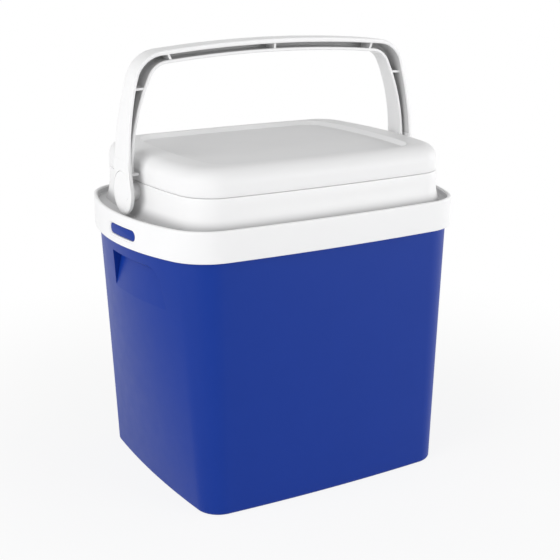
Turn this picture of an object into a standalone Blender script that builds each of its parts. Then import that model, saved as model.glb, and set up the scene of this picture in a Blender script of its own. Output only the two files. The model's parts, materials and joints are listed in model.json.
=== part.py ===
"""Passive cooler chest with a lift-off lid and a swinging bail handle.

X runs along the long side, the front is -Y, Z is up and the origin lies under the
middle of the base. All sizes are in metres.
"""
import math

import bmesh
import bpy
from mathutils import Vector

# Rim collar: the widest outline, with bowed ends and nearly straight sides
RIM_LENGTH = 0.400
RIM_DEPTH = 0.287
RIM_CORNER = 0.054
RIM_END_BOW = 0.280
SIDE_BOW = 2.200
RIM_HEIGHT = 0.0345
LIP_WALL = 0.004
GUTTER_DROP = 0.0075
GUTTER_FLOOR = 0.0025

# Outer shell: a tapered bucket that the collar caps
BODY_HEIGHT = 0.289
END_TAPER = 0.0385
SIDE_TAPER = 0.0065
BASE_CORNER = 0.028
BASE_END_BOW = 1.200
BASE_EDGE = 0.004
RIM_OVERHANG = 0.0055
SHELL_WALL = 0.003

# Neck and lid share one outline
END_SHELF = 0.029
SIDE_SHELF = 0.013
LID_CORNER = 0.042
LID_END_BOW = 0.540
NECK_RISE = 0.0305
NECK_WALL = 0.003
NECK_FLARE = 0.002
LEDGE_WIDTH = 0.014
LEDGE_THICK = 0.0024

# Lid cap, its inner pan and the tray in its top
LID_HEIGHT = 0.030
LID_EDGE = 0.018
LID_WALL = 0.0025
LID_SEAM = 0.0005
CREST_WIDTH = 0.002
END_CREST = 0.016
TRAY_WALL_RUN = 0.004
TRAY_DROP = 0.0055
PLUG_DEPTH = 0.0265
PLUG_CLEARANCE = 0.003
PLUG_DRAFT = 0.002
PAN_WALL = 0.0022

# Liner and insulation
LINER_WALL = 0.0025
LINER_INSET = 0.019
LINER_FLANGE = 0.0022
LINER_MIN_CORNER = 0.012
FOAM_CLEARANCE = 0.0008
INSULATION = 0.026
FLOOR_INSULATION = 0.0265

# Snap lugs of the shell in slots of the collar
LUG_LENGTH = 0.0575
LUG_HEIGHT = 0.0122
LUG_RECESS = 0.0012
LUG_CLEARANCE = 0.0006
LUG_DROP = 0.0193
LUG_SHIFT = 0.0186

# Finger pockets in the ends of the shell
POCKET_WIDTH = 0.097
POCKET_SPREAD = 0.007
POCKET_HEIGHT = 0.044
POCKET_CEILING = 0.006
POCKET_DEPTH = 0.010
POCKET_DROP = 0.0145
POCKET_SHIFT = 0.026

# Bail handle, a channel open to the front, and its pivots
ARM_SETOUT = 0.0065
HANDLE_RISE = 0.1582
ARM_START = 0.019
ARM_STRAIGHT = 0.022
ARM_BOW = 0.380
ARM_INNER_BOW = 0.228
HANDLE_CORNER = 0.038
CROWN_BOW = 1.420
ARM_THICK = 0.0105
BAR_THICK = 0.015
HANDLE_DEPTH = 0.028
FLARE_TOP = 0.115
FLARE_SLOPE = 0.06
HANDLE_WALL = 0.0036
BAR_WALL = 0.0055
INNER_SETBACK = 0.004
RIB_THICK = 0.0025
RIB_SETBACK = 0.0055
BAR_RIB_OFFSET = 0.1345
ARM_RIB_HIGH = 0.1107
ARM_RIB_LOW = 0.0205
LOW_RIB_REACH = 0.004
PIVOT_RISE = 0.020
HUB_RIM = 0.0010
HUB_WIDTH = 0.0025
HUB_SETBACK = 0.0017
COLLAR_RADIUS = 0.0118
TONGUE_LOW = 0.0045
TONGUE_TOP = 0.036
TONGUE_INSET = 0.0008
BUTTON_RADIUS = 0.023
BUTTON_HEAD = 0.0017
BUTTON_EDGE = 0.0010
SHANK_RADIUS = 0.0065
BARB_RADIUS = 0.008
BARB_LENGTH = 0.0035
BOSS_RADIUS = 0.010
RUNNING_CLEARANCE = 0.0003

# Gap between pieces that touch
GAP = 0.0003

# Lengths and heights that follow from the driving dimensions
BASE_LENGTH = RIM_LENGTH - 2 * END_TAPER
BASE_DEPTH = RIM_DEPTH - 2 * SIDE_TAPER
LID_LENGTH = RIM_LENGTH - 2 * END_SHELF
LID_DEPTH = RIM_DEPTH - 2 * SIDE_SHELF
RIM_TOP = BODY_HEIGHT + RIM_HEIGHT
GUTTER = RIM_TOP - GUTTER_DROP
SEAM = RIM_TOP + NECK_RISE
LID_BOTTOM = SEAM + LID_SEAM
LID_TOP = LID_BOTTOM + LID_HEIGHT
TRAY = LID_TOP - TRAY_DROP
SHELL_TOP = GUTTER - GUTTER_FLOOR - GAP
PIVOT = RIM_TOP + PIVOT_RISE
LINER_BOTTOM = SHELL_WALL + FLOOR_INSULATION + 2 * GAP
LINER_TOP = SEAM + GAP + LINER_FLANGE
PAN_BOTTOM = LINER_TOP + GAP
PAN_TOP = PAN_BOTTOM + PAN_WALL
HANDLE_INNER = LID_LENGTH / 2 + ARM_SETOUT
HANDLE_OUTER = HANDLE_INNER + ARM_THICK
HUB_INNER = HANDLE_INNER - GAP
HUB_OUTER = HANDLE_OUTER - HUB_SETBACK
HUB_PLATE = HUB_OUTER - HUB_WIDTH
HUB_RADIUS = BUTTON_RADIUS + GAP + HUB_RIM

# Facets along one quarter of an outline: end, corner and side
OUTLINE_FACETS = (8, 4, 2)
POCKET_FACETS = 4
ROUND_FACETS = 24


def remove_everything():
    for thing in list(bpy.data.objects):
        bpy.data.objects.remove(thing, do_unlink=True)


def material(name, colour, roughness):
    mat = bpy.data.materials.new(name)
    mat.use_nodes = True
    shader = mat.node_tree.nodes["Principled BSDF"]
    shader.inputs["Base Color"].default_value = (*colour, 1.0)
    shader.inputs["Roughness"].default_value = roughness
    shader.inputs["Metallic"].default_value = 0.0
    return mat


def quarter(half_length, half_depth, corner, end_bow, side_bow, facets):
    """Points from the end's middle to the side's middle along three tangent arcs."""
    end = Vector((half_length - end_bow, 0.0))
    side = Vector((0.0, half_depth - side_bow))
    reach_end = end_bow - corner
    reach_side = side_bow - corner
    span = side - end
    along = (reach_end ** 2 - reach_side ** 2 + span.length ** 2) / (2 * span.length)
    across = math.sqrt(max(reach_end ** 2 - along ** 2, 0.0))
    unit = span.normalized()
    choices = [end + unit * along + Vector((-unit.y, unit.x)) * across * way for way in (1, -1)]
    centre = max(choices, key=lambda point: point.x + point.y)
    start = math.atan2(centre.y - end.y, centre.x - end.x)
    stop = math.atan2(centre.y - side.y, centre.x - side.x)
    arcs = ((end, end_bow, 0.0, start, facets[0]),
            (centre, corner, start, stop, facets[1]),
            (side, side_bow, stop, math.pi / 2, facets[2]))
    points = []
    for middle, radius, first, last, count in arcs:
        for step in range(count):
            angle = first + (last - first) * step / count
            points.append(middle + radius * Vector((math.cos(angle), math.sin(angle))))
    points.append(Vector((0.0, half_depth)))
    return points


def ring_of(points):
    """Mirror a quarter outline into a closed ring."""
    turned = points[:0:-1]
    ring = list(points[:-1])
    ring += [Vector((-p.x, p.y)) for p in turned]
    ring += [Vector((-p.x, -p.y)) for p in points[:-1]]
    ring += [Vector((p.x, -p.y)) for p in turned]
    return ring


def rim_ring(inset):
    return ring_of(quarter(RIM_LENGTH / 2 - inset, RIM_DEPTH / 2 - inset, RIM_CORNER - inset,
                           RIM_END_BOW - inset, SIDE_BOW - inset, OUTLINE_FACETS))


def base_ring(inset):
    return ring_of(quarter(BASE_LENGTH / 2 - inset, BASE_DEPTH / 2 - inset,
                           max(BASE_CORNER - inset, LINER_MIN_CORNER),
                           BASE_END_BOW - inset, SIDE_BOW - inset, OUTLINE_FACETS))


def lid_ring(inset, end_inset=0.0):
    return ring_of(quarter(LID_LENGTH / 2 - inset - end_inset, LID_DEPTH / 2 - inset,
                           max(LID_CORNER - inset, LINER_MIN_CORNER),
                           LID_END_BOW - inset, SIDE_BOW - inset, OUTLINE_FACETS))


def raised(ring, height):
    return [Vector((p.x, p.y, height)) for p in ring]


def new_object(name, mesh, mat=None):
    thing = bpy.data.objects.new(name, mesh)
    bpy.context.scene.collection.objects.link(thing)
    if mat:
        mesh.materials.append(mat)
    return thing


def loft(name, rings, closed=False, mat=None):
    """Skin a stack of rings. A closed stack joins its last ring to its first."""
    bm = bmesh.new()
    rows = [[bm.verts.new(point) for point in ring] for ring in rings]
    pairs = list(zip(rows, rows[1:]))
    if closed:
        pairs.append((rows[-1], rows[0]))
    for first, second in pairs:
        # The diagonals run the same way on every skin, so nested skins stay parallel
        lower, upper = sorted((first, second), key=lambda row: row[0].co.z)
        for here in range(len(lower)):
            there = (here + 1) % len(lower)
            bm.faces.new((lower[here], lower[there], upper[there]))
            bm.faces.new((lower[here], upper[there], upper[here]))
    if not closed:
        bm.faces.new(rows[0][::-1])
        bm.faces.new(rows[-1])
    bmesh.ops.recalc_face_normals(bm, faces=bm.faces)
    mesh = bpy.data.meshes.new(name)
    bm.to_mesh(mesh)
    bm.free()
    return new_object(name, mesh, mat)


def turned_on_x(name, profile, side, height, mat=None):
    """Turn a profile of (distance from the middle plane, radius) about the pivot axis."""
    rings = []
    for along, radius in profile:
        ring = []
        for step in range(ROUND_FACETS):
            angle = 2 * math.pi * step / ROUND_FACETS
            ring.append(Vector((side * along, radius * math.cos(angle), height + radius * math.sin(angle))))
        rings.append(ring)
    return loft(name, rings, mat=mat)


def block(name, corners_low, corners_high):
    """A box between two corners."""
    low, high = corners_low, corners_high
    ring = [(low[0], low[1]), (high[0], low[1]), (high[0], high[1]), (low[0], high[1])]
    return loft(name, [[Vector((x, y, z)) for x, y in ring] for z in (low[2], high[2])])


def combine(target, tool, operation):
    """Apply a Boolean to the target and remove the tool."""
    change = target.modifiers.new(operation, "BOOLEAN")
    change.operation = operation
    change.solver = "EXACT"
    change.object = tool
    bpy.context.view_layer.update()
    result = bpy.data.meshes.new_from_object(target.evaluated_get(bpy.context.evaluated_depsgraph_get()))
    old = target.data
    target.modifiers.clear()
    target.data = result
    result.name = target.name
    bpy.data.meshes.remove(old)
    bpy.data.objects.remove(tool, do_unlink=True)


def end_reach(y, inset):
    """Distance from the middle plane to the rim's bowed end at a given y."""
    bow = RIM_END_BOW - inset
    return RIM_LENGTH / 2 - inset - bow + math.sqrt(bow ** 2 - y ** 2)


def oblong(name, side, length, height, inner, outer):
    """A bar with round ends across an end of the rim, from inner(y) to outer(y)."""
    radius = height / 2
    straight = length / 2 - radius
    columns = [straight + radius * math.sin(angle) for angle in (math.radians(a) for a in (75, 55, 30, 0))]
    columns += [straight / 2, 0.0, -straight / 2] + [-y for y in reversed(columns)]
    middle = RIM_TOP - LUG_DROP
    rings = []
    for column in columns:
        past = max(abs(column) - straight, 0.0)
        half = math.sqrt(radius ** 2 - past ** 2)
        y = column + side * LUG_SHIFT
        rings.append([Vector((side * x, y, middle + z))
                      for x, z in ((inner(y), -half), (outer(y), -half), (outer(y), half), (inner(y), half))])
    return loft(name, rings)


def wall_reach(height, y):
    """Distance from the middle plane to the outside of the shell's end at a height and a y."""
    low = BASE_LENGTH / 2 - BASE_END_BOW + math.sqrt(BASE_END_BOW ** 2 - y ** 2)
    high = end_reach(y, RIM_OVERHANG)
    return low + (high - low) * height / BODY_HEIGHT


def pocket(name, side, grow, outside):
    """The wedge of a finger pocket, grown by a wall, that follows the bowed end of the shell."""
    top = BODY_HEIGHT - POCKET_DROP + grow
    bottom = BODY_HEIGHT - POCKET_DROP - POCKET_HEIGHT - grow
    deepest = top - POCKET_CEILING
    edge = GAP / 2 - grow
    stations = ((top, outside), (bottom, outside), (bottom, edge), (deepest, -POCKET_DEPTH - grow), (top, edge))
    rings = []
    for step in range(-POCKET_FACETS, POCKET_FACETS + 1):
        ring = []
        for height, out in stations:
            spread = POCKET_SPREAD * (top - height) / (top - bottom)
            across = (POCKET_WIDTH / 2 + grow + spread) * step / POCKET_FACETS
            y = across + side * POCKET_SHIFT
            ring.append(Vector((side * (wall_reach(height, y) + out), y, height)))
        rings.append(ring)
    return loft(name, rings)


def outer_shell(mat):
    outer = RIM_OVERHANG
    inner = RIM_OVERHANG + SHELL_WALL
    shell = loft("outer_shell", [
        raised(base_ring(BASE_EDGE), 0.0),
        raised(base_ring(BASE_EDGE * 0.3), BASE_EDGE * 0.3),
        raised(base_ring(0.0), BASE_EDGE),
        raised(rim_ring(outer), BODY_HEIGHT),
        raised(rim_ring(outer), SHELL_TOP),
        raised(rim_ring(inner), SHELL_TOP),
        raised(rim_ring(inner), BODY_HEIGHT),
        raised(base_ring(SHELL_WALL), SHELL_WALL + BASE_EDGE),
        raised(base_ring(SHELL_WALL + BASE_EDGE), SHELL_WALL)], mat=mat)
    for side in (1, -1):
        combine(shell, pocket("pocket_back", side, SHELL_WALL, GAP - SHELL_WALL), "UNION")
        combine(shell, pocket("pocket_hole", side, 0.0, SHELL_WALL), "DIFFERENCE")
        lug = oblong("lug", side, LUG_LENGTH - 2 * LUG_CLEARANCE, LUG_HEIGHT - 2 * LUG_CLEARANCE,
                     lambda y: end_reach(y, RIM_OVERHANG + SHELL_WALL / 2), lambda y: end_reach(y, LUG_RECESS))
        combine(shell, lug, "UNION")
    return shell


def body_insulation(mat):
    outer = SHELL_WALL + FOAM_CLEARANCE
    floor = SHELL_WALL + GAP
    foam = loft("body_insulation", [
        raised(base_ring(outer + BASE_EDGE), floor),
        raised(base_ring(outer), floor + BASE_EDGE),
        raised(rim_ring(RIM_OVERHANG + outer), BODY_HEIGHT),
        raised(rim_ring(RIM_OVERHANG + outer), SHELL_TOP),
        raised(liner_ring(SHELL_TOP, -FOAM_CLEARANCE), SHELL_TOP),
        raised(liner_ring(LINER_BOTTOM, -FOAM_CLEARANCE), LINER_BOTTOM - GAP)], mat=mat)
    for side in (1, -1):
        combine(foam, pocket("pocket_clear", side, outer, SHELL_WALL), "DIFFERENCE")
    return foam


def liner_ring(height, inset):
    """The tapered liner's outside at a height, drawn in by an inset."""
    share = (height - LINER_BOTTOM) / (LINER_TOP - LINER_FLANGE - LINER_BOTTOM)
    low = base_ring(SHELL_WALL + INSULATION + inset)
    high = lid_ring(LINER_INSET + inset)
    return [a.lerp(b, share) for a, b in zip(low, high)]


def inner_liner(mat):
    edge = NECK_WALL + GAP
    under = LINER_TOP - LINER_FLANGE
    low = base_ring(SHELL_WALL + INSULATION)
    low_in = base_ring(SHELL_WALL + INSULATION + LINER_WALL)
    return loft("inner_liner", [
        raised(low, LINER_BOTTOM),
        raised(lid_ring(LINER_INSET), under),
        raised(lid_ring(edge), under),
        raised(lid_ring(edge), LINER_TOP),
        raised(lid_ring(LINER_INSET + LINER_WALL), LINER_TOP),
        raised(low_in, LINER_BOTTOM + LINER_WALL)], mat=mat)


def rim_collar(mat):
    lip = LIP_WALL
    under = GUTTER - GUTTER_FLOOR
    ledge = SEAM - LEDGE_THICK
    collar = loft("rim_collar", [
        raised(rim_ring(0.0), BODY_HEIGHT),
        raised(rim_ring(0.0), RIM_TOP - lip / 2),
        raised(rim_ring(lip * 0.15), RIM_TOP - lip * 0.15),
        raised(rim_ring(lip * 0.5), RIM_TOP),
        raised(rim_ring(lip * 0.85), RIM_TOP - lip * 0.15),
        raised(rim_ring(lip), RIM_TOP - lip / 2),
        raised(rim_ring(lip), GUTTER),
        raised(lid_ring(-NECK_FLARE), GUTTER),
        raised(lid_ring(-NECK_FLARE * 0.3), GUTTER + NECK_FLARE * 3),
        raised(lid_ring(0.0), SEAM - NECK_WALL * 0.3),
        raised(lid_ring(NECK_WALL * 0.3), SEAM),
        raised(lid_ring(LEDGE_WIDTH), SEAM),
        raised(lid_ring(LEDGE_WIDTH), ledge),
        raised(lid_ring(NECK_WALL), ledge),
        raised(lid_ring(NECK_WALL), under),
        raised(rim_ring(lip), under),
        raised(rim_ring(lip), BODY_HEIGHT)], closed=True, mat=mat)
    neck_face = LID_LENGTH / 2
    bore = SHANK_RADIUS + RUNNING_CLEARANCE
    for side in (1, -1):
        slot = oblong("slot", side, LUG_LENGTH, LUG_HEIGHT,
                      lambda y: end_reach(y, LIP_WALL * 1.5), lambda y: end_reach(y, -LIP_WALL))
        combine(collar, slot, "DIFFERENCE")
        boss = ((neck_face - NECK_WALL / 2, BOSS_RADIUS), (HUB_INNER - GAP, BOSS_RADIUS))
        combine(collar, turned_on_x("boss", boss, side, PIVOT), "UNION")
        hole = ((neck_face - NECK_WALL * 2, bore), (HANDLE_INNER + NECK_WALL, bore))
        combine(collar, turned_on_x("hole", hole, side, PIVOT), "DIFFERENCE")
    return collar


def lid_edge(wall, steps):
    """(inset, height) down the inside or outside of the lid's rounded top edge."""
    radius = LID_EDGE - wall
    points = []
    for step in range(steps + 1):
        angle = math.pi / 2 * step / steps
        points.append((wall + radius * (1 - math.cos(angle)), LID_TOP - LID_EDGE + radius * math.sin(angle)))
    return points


def lid_stations(points):
    """Rings at insets and heights. The crest is wider at the two ends than along the sides."""
    rings = []
    for inset, height in points:
        end_inset = END_CREST * min(max((inset - LID_EDGE) / CREST_WIDTH, 0.0), 1.0)
        rings.append(raised(lid_ring(inset, end_inset), height))
    return rings


def lid_cover(mat):
    crest = LID_EDGE + CREST_WIDTH
    tray = crest + TRAY_WALL_RUN
    outside = [(0.0, LID_BOTTOM)] + lid_edge(0.0, 4)
    outside += [(crest, LID_TOP), (tray - TRAY_WALL_RUN * 0.3, TRAY + TRAY_DROP * 0.15), (tray, TRAY)]
    inside = [(LID_WALL, LID_BOTTOM)] + lid_edge(LID_WALL, 3)
    inside += [(crest, LID_TOP - LID_WALL), (tray - TRAY_WALL_RUN * 0.3, TRAY - LID_WALL)]
    return loft("lid_cover", lid_stations(outside[::-1] + inside), mat=mat)


def lid_liner(mat):
    plug = LINER_INSET + LINER_WALL + PLUG_CLEARANCE
    foot = plug + PLUG_DRAFT
    edge = LID_WALL + GAP
    bottom = PAN_BOTTOM - PLUG_DEPTH
    return loft("lid_liner", [
        raised(lid_ring(foot + PAN_WALL), bottom),
        raised(lid_ring(foot), bottom + PAN_WALL),
        raised(lid_ring(plug), PAN_BOTTOM),
        raised(lid_ring(edge), PAN_BOTTOM),
        raised(lid_ring(edge), PAN_TOP),
        raised(lid_ring(plug + PAN_WALL), PAN_TOP),
        raised(lid_ring(foot + PAN_WALL), bottom + PAN_WALL)], mat=mat)


def lid_insulation(mat):
    plug = LINER_INSET + LINER_WALL + PLUG_CLEARANCE + PAN_WALL + GAP
    foot = plug + PLUG_DRAFT
    edge = LID_WALL + GAP
    crest = LID_EDGE + CREST_WIDTH
    bottom = PAN_BOTTOM - PLUG_DEPTH + PAN_WALL + GAP
    lower = [raised(lid_ring(foot), bottom), raised(lid_ring(plug), PAN_TOP + GAP)]
    upper = [(edge, PAN_TOP + GAP)] + lid_edge(edge, 3)[:-1]
    upper += [(crest, TRAY - LID_WALL - GAP)]
    return loft("lid_insulation", lower + lid_stations(upper), mat=mat)


def handle_paths():
    """Outer and inner lines of the bail from the right pivot over to the left one."""
    facets = (4, 5, 6)
    rise = HANDLE_RISE - ARM_STRAIGHT
    outer = quarter(HANDLE_OUTER, rise, HANDLE_CORNER, ARM_BOW, CROWN_BOW, facets)
    inner = quarter(HANDLE_INNER, rise - BAR_THICK, HANDLE_CORNER - BAR_THICK,
                    ARM_INNER_BOW, CROWN_BOW - BAR_THICK, facets)
    paths = []
    for points, reach in ((outer, HANDLE_OUTER), (inner, HANDLE_INNER)):
        right = [Vector((reach, ARM_START - ARM_STRAIGHT))] + points
        full = right + [Vector((-p.x, p.y)) for p in right[-2::-1]]
        paths.append([Vector((p.x, p.y + PIVOT + ARM_STRAIGHT)) for p in full])
    return paths


def flare(height):
    """How far each edge of an arm stands out beyond the crossbar at a height above the pivot."""
    return max(FLARE_TOP - height, 0.0) * FLARE_SLOPE


def handle_bow(mat):
    front, back = -HANDLE_DEPTH / 2, HANDLE_DEPTH / 2
    inner_front = front + INNER_SETBACK
    web = back - HANDLE_WALL
    rings = []
    for out, inn in zip(*handle_paths()):
        across = (inn - out).normalized()
        top = out + across * (HANDLE_WALL + (BAR_WALL - HANDLE_WALL) * across.y ** 2)
        low = inn - across * HANDLE_WALL
        wide = flare(out.y - PIVOT)
        corners = ((out, front - wide), (out, back + wide), (inn, back + wide), (inn, inner_front),
                   (low, inner_front), (low, web + wide), (top, web + wide), (top, front - wide))
        rings.append([Vector((p.x, y, p.y)) for p, y in corners])
    bow = loft("handle_bow", rings, mat=mat)
    hub = ((HUB_INNER, COLLAR_RADIUS), (HUB_PLATE, COLLAR_RADIUS), (HUB_PLATE, HUB_RADIUS),
           (HANDLE_OUTER - GAP, HUB_RADIUS))
    head_room = ((HUB_OUTER + GAP / 2, BUTTON_RADIUS + GAP), (HANDLE_OUTER + HUB_WIDTH, BUTTON_RADIUS + GAP))
    bore_radius = SHANK_RADIUS + RUNNING_CLEARANCE
    bore = ((HANDLE_INNER - HUB_WIDTH, bore_radius), (HUB_OUTER + HUB_WIDTH, bore_radius))
    for rib in handle_ribs(front + RIB_SETBACK, web + HANDLE_WALL / 2):
        combine(bow, rib, "UNION")
    for side in (1, -1):
        combine(bow, tongue(side), "UNION")
        combine(bow, turned_on_x("hub", hub, side, PIVOT), "UNION")
        combine(bow, turned_on_x("head_room", head_room, side, PIVOT), "DIFFERENCE")
        combine(bow, turned_on_x("bore", bore, side, PIVOT), "DIFFERENCE")
    return bow


def tongue(side):
    """The flat end of an arm, which widens from the channel to the round hub plate."""
    low = math.sqrt(HUB_RADIUS ** 2 - TONGUE_LOW ** 2) - GAP
    high = HANDLE_DEPTH / 2 + flare(TONGUE_TOP) - TONGUE_INSET
    corners = ((-low, TONGUE_LOW), (low, TONGUE_LOW), (high, TONGUE_TOP), (-high, TONGUE_TOP))
    faces = (HUB_PLATE + GAP, HANDLE_OUTER - 2 * GAP)
    return loft("tongue", [[Vector((side * x, y, PIVOT + z)) for y, z in corners] for x in faces])


def handle_ribs(front, back):
    """Cross plates that stiffen the channel, let a little way into its walls."""
    ribs = []
    bite = HANDLE_WALL / 3
    crown = PIVOT + HANDLE_RISE - CROWN_BOW
    for x in (-BAR_RIB_OFFSET, 0.0, BAR_RIB_OFFSET):
        top = crown + math.sqrt(CROWN_BOW ** 2 - x ** 2)
        ribs.append(block("rib", (x - RIB_THICK / 2, front, top - BAR_THICK + HANDLE_WALL - bite),
                          (x + RIB_THICK / 2, back, top - BAR_WALL + bite)))
    for height, inner_end in ((ARM_RIB_HIGH, HANDLE_WALL - bite), (ARM_RIB_LOW, -LOW_RIB_REACH)):
        wide = flare(height)
        above = max(height - ARM_STRAIGHT, 0.0)
        outer = HANDLE_OUTER - ARM_BOW + math.sqrt(ARM_BOW ** 2 - above ** 2) - HANDLE_WALL + bite
        inner = HANDLE_INNER - ARM_INNER_BOW + math.sqrt(ARM_INNER_BOW ** 2 - above ** 2) + inner_end
        for side in (1, -1):
            low, high = sorted((side * inner, side * outer))
            ribs.append(block("rib", (low, front - wide, PIVOT + height - RIB_THICK / 2),
                              (high, back + wide, PIVOT + height + RIB_THICK / 2)))
    return ribs


def pivot_button(name, side, mat):
    """Round cap whose shank carries the arm and snaps into the neck."""
    under = HUB_OUTER + GAP
    face = under + BUTTON_HEAD
    neck_inside = LID_LENGTH / 2 - NECK_WALL - GAP
    profile = ((face, BUTTON_RADIUS - BUTTON_EDGE * 2), (face - BUTTON_EDGE * 0.3, BUTTON_RADIUS - BUTTON_EDGE * 0.7),
               (face - BUTTON_EDGE, BUTTON_RADIUS), (under, BUTTON_RADIUS), (under, SHANK_RADIUS),
               (neck_inside, SHANK_RADIUS), (neck_inside, BARB_RADIUS),
               (neck_inside - BARB_LENGTH * 0.3, BARB_RADIUS), (neck_inside - BARB_LENGTH, SHANK_RADIUS * 0.8))
    return turned_on_x(name, profile, side, PIVOT, mat)


def carry(name, place, pieces):
    """Hang moving pieces on an empty that sits on their joint's axis."""
    holder = bpy.data.objects.new(name, None)
    bpy.context.scene.collection.objects.link(holder)
    holder.location = place
    bpy.context.view_layer.update()
    for piece in pieces:
        piece.parent = holder
        piece.matrix_parent_inverse = holder.matrix_world.inverted()


def main():
    remove_everything()
    blue = material("blue_shell_plastic", (0.012, 0.035, 0.290), 0.35)
    white = material("white_rim_plastic", (0.85, 0.85, 0.86), 0.35)
    liner_white = material("white_liner_plastic", (0.80, 0.81, 0.82), 0.40)
    lid_white = material("white_lid_plastic", (0.83, 0.83, 0.84), 0.35)
    pan_white = material("white_pan_plastic", (0.80, 0.81, 0.82), 0.40)
    handle_white = material("white_handle_plastic", (0.82, 0.82, 0.83), 0.35)
    left_white = material("white_button_left", (0.85, 0.85, 0.86), 0.30)
    right_white = material("white_button_right", (0.85, 0.85, 0.86), 0.30)
    body_foam = material("body_foam", (0.86, 0.82, 0.66), 0.90)
    lid_foam = material("lid_foam", (0.86, 0.82, 0.66), 0.90)

    outer_shell(blue)
    body_insulation(body_foam)
    inner_liner(liner_white)
    rim_collar(white)
    lid = [lid_cover(lid_white), lid_liner(pan_white), lid_insulation(lid_foam)]
    bow = handle_bow(handle_white)
    pivot_button("pivot_button_left", -1, left_white)
    pivot_button("pivot_button_right", 1, right_white)
    carry("lid_lift_axis", (0.0, 0.0, SEAM), lid)
    carry("handle_pivot_axis", (0.0, 0.0, PIVOT), [bow])


main()
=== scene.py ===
# %% [markdown]
# # A cooler chest with a lift-off lid and a bail handle
# The CAD model gives every piece its place. This script dresses each piece: it
# rebuilds the moulded plastic skins with round edges, gives them a finish, and
# lights them in a small studio. Everything is in metres, +Z is up and the front
# of the chest looks along -Y.

# %% Load the CAD frame
import json
import math

import bmesh
import bpy
from mathutils import Matrix, Vector

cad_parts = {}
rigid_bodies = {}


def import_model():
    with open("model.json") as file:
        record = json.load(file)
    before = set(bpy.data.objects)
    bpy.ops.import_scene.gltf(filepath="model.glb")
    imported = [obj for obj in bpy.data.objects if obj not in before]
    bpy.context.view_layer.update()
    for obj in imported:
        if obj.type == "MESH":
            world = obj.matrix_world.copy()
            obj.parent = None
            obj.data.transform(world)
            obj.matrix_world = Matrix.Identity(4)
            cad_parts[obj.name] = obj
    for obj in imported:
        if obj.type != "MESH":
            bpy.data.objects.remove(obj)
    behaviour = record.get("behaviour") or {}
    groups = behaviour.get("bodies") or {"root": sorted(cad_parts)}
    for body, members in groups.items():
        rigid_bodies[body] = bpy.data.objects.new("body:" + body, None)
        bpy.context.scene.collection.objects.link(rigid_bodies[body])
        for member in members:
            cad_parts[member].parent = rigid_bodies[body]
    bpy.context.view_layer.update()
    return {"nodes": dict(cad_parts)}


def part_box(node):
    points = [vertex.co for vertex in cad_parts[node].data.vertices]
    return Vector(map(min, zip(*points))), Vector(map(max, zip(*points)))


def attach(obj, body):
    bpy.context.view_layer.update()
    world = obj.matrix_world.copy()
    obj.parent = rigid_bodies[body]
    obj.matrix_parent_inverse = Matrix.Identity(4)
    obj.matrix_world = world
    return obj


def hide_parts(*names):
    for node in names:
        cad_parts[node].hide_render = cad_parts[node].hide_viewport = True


for leftover in list(bpy.data.objects):
    bpy.data.objects.remove(leftover, do_unlink=True)
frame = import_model()
scene = bpy.context.scene


def add_object(name, data):
    """Put a mesh, lamp or camera into the scene."""
    thing = bpy.data.objects.new(name, data)
    scene.collection.objects.link(thing)
    return thing


# %% [markdown]
# ## Camera
# The camera stands in front and to the left, a little above the lid. A long lens
# keeps the upright edges nearly parallel. The small shift moves the frame, not
# the viewpoint, so the perspective stays that of the viewing angle.

# %% Camera at the viewing angle
VIEW_TARGET = Vector((0.0, 0.0, 0.23767))
VIEW_AZIMUTH = -30.13
VIEW_ELEVATION = 15.79
VIEW_DISTANCE = 1.38532

lens_data = bpy.data.cameras.new("camera")
lens_data.sensor_width = 36.0
lens_data.lens = 74.69
lens_data.shift_x = 0.0155
lens_data.shift_y = -0.0321
camera = add_object("camera", lens_data)
scene.camera = camera
around = math.radians(VIEW_AZIMUTH)
above = math.radians(VIEW_ELEVATION)
back = Vector((math.sin(around) * math.cos(above), -math.cos(around) * math.cos(above), math.sin(above)))
camera.location = VIEW_TARGET + back * VIEW_DISTANCE
camera.rotation_euler = (-back).to_track_quat("-Z", "Y").to_euler()
print("camera at", [round(c, 3) for c in camera.location])

# %% [markdown]
# ## Studio
# A product studio is a white sweep with large soft lamps: a key lamp on the left, one
# in front, and a weaker one on the right that lifts the far edge. The floor looks
# white because part of its shader glows for the rays that look at it; the rest is a
# matt surface that keeps the shadow. The lamps stay at a plain level, so each colour
# renders about as it is written.

# %% Floor and world
def link(tree, source, target):
    tree.links.new(source, target)


def map_range(tree, value, source, target=(0.0, 1.0), soft=False):
    """Map one range of values to another, with soft ends if asked."""
    node = tree.nodes.new("ShaderNodeMapRange")
    if soft:
        node.interpolation_type = "SMOOTHSTEP"
    for title, number in zip(("From Min", "From Max", "To Min", "To Max"), (*source, *target)):
        node.inputs[title].default_value = number
    link(tree, value, node.inputs["Value"])
    return node.outputs["Result"]


def seen_directly(tree):
    """1 for camera, glossy and transmission rays, 0 for the rays that light the chest."""
    path = tree.nodes.new("ShaderNodeLightPath")
    result = path.outputs["Is Camera Ray"]
    for kind in ("Is Glossy Ray", "Is Transmission Ray"):
        either = tree.nodes.new("ShaderNodeMath")
        either.operation = "MAXIMUM"
        link(tree, result, either.inputs[0])
        link(tree, path.outputs[kind], either.inputs[1])
        result = either.outputs[0]
    return result


def mixed_output(tree, share, first, second, kind):
    """Send a blend of two shaders to the output."""
    mix = tree.nodes.new("ShaderNodeMixShader")
    out = tree.nodes.new(kind)
    for source, target in zip((share, first.outputs[0], second.outputs[0]), mix.inputs):
        link(tree, source, target)
    link(tree, mix.outputs[0], out.inputs["Surface"])


GLOW_NEAR, GLOW_FAR = 0.25, 0.80


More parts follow.
